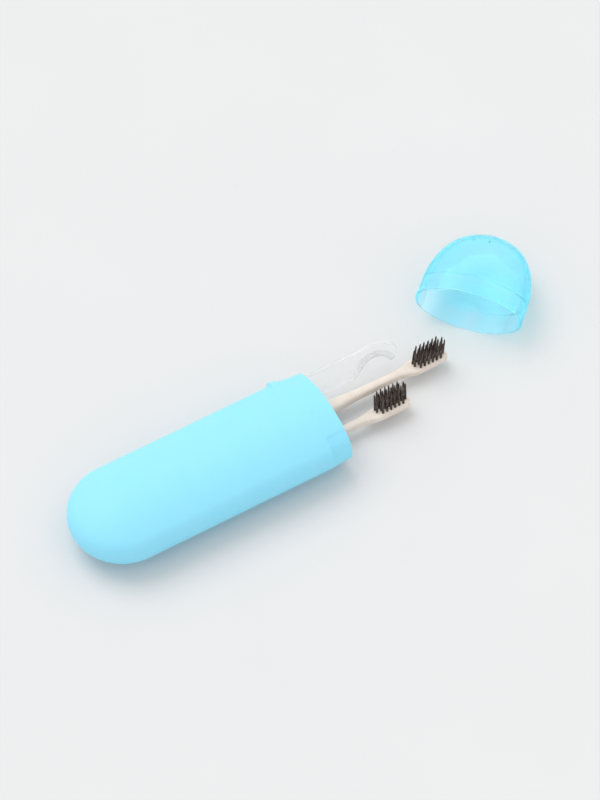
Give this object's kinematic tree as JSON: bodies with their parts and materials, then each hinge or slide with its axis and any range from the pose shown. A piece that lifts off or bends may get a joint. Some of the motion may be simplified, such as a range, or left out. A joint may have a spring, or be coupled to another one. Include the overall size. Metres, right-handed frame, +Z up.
{
  "type": "travel toothbrush case",
  "caption": "Oval travel toothbrush case lying open, with its see-through domed cap beside the mouth, a clear insert and toothbrushes drawn part of the way out.",
  "frame": {"origin": "on the surface the case lies on, under the middle of the case's flat landing", "axes": "+X out of the case's mouth, +Y to the side with the thumb ledge, +Z up"},
  "size_m": [0.3137, 0.0969, 0.0358],
  "materials": {
    "case_plastic": "fine matte moulded",
    "cap_plastic": "see-through, tinted, glossy",
    "insert_plastic": "clear, glossy",
    "handle_plastic": "fibre-filled, faint specks",
    "bristle": "nylon filament",
    "anchor_metal": "stamped strip"
  },
  "bodies": {
    "case": {"case_body": "case_plastic"},
    "loose_cap": {"cap": "cap_plastic"},
    "insert": {"clear_insert": "insert_plastic"},
    "brush_1": {"brush_1_handle": "handle_plastic", "brush_1_anchors": "anchor_metal", "brush_1_tuft_row_1": "bristle", "brush_1_tuft_row_2": "bristle", "brush_1_tuft_row_3": "bristle", "brush_1_tuft_row_4": "bristle", "brush_1_tuft_row_5": "bristle", "brush_1_tuft_row_6": "bristle", "brush_1_tuft_row_7": "bristle", "brush_1_tuft_row_8": "bristle"},
    "brush_2": {"brush_2_handle": "handle_plastic", "brush_2_anchors": "anchor_metal", "brush_2_tuft_row_1": "bristle", "brush_2_tuft_row_2": "bristle", "brush_2_tuft_row_3": "bristle", "brush_2_tuft_row_4": "bristle", "brush_2_tuft_row_5": "bristle", "brush_2_tuft_row_6": "bristle", "brush_2_tuft_row_7": "bristle", "brush_2_tuft_row_8": "bristle"}
  },
  "joints": [
    {"name": "brush_1_slide", "type": "slide", "parent": "case", "child": "brush_1", "axis": [1, 0, 0], "range_m": [-0.054, 0.028]},
    {"name": "brush_2_slide", "type": "slide", "parent": "case", "child": "brush_2", "axis": [1, 0, 0], "range_m": [-0.022, 0.065]},
    {"name": "insert_slide", "type": "slide", "parent": "case", "child": "insert", "axis": [1, 0, 0], "range_m": [-0.033, 0.04]},
    {"name": "cap_slide", "type": "slide", "parent": "case", "child": "loose_cap", "axis": [0.749, 0.6626, 0], "range_m": [0, 0.06]}
  ]
}
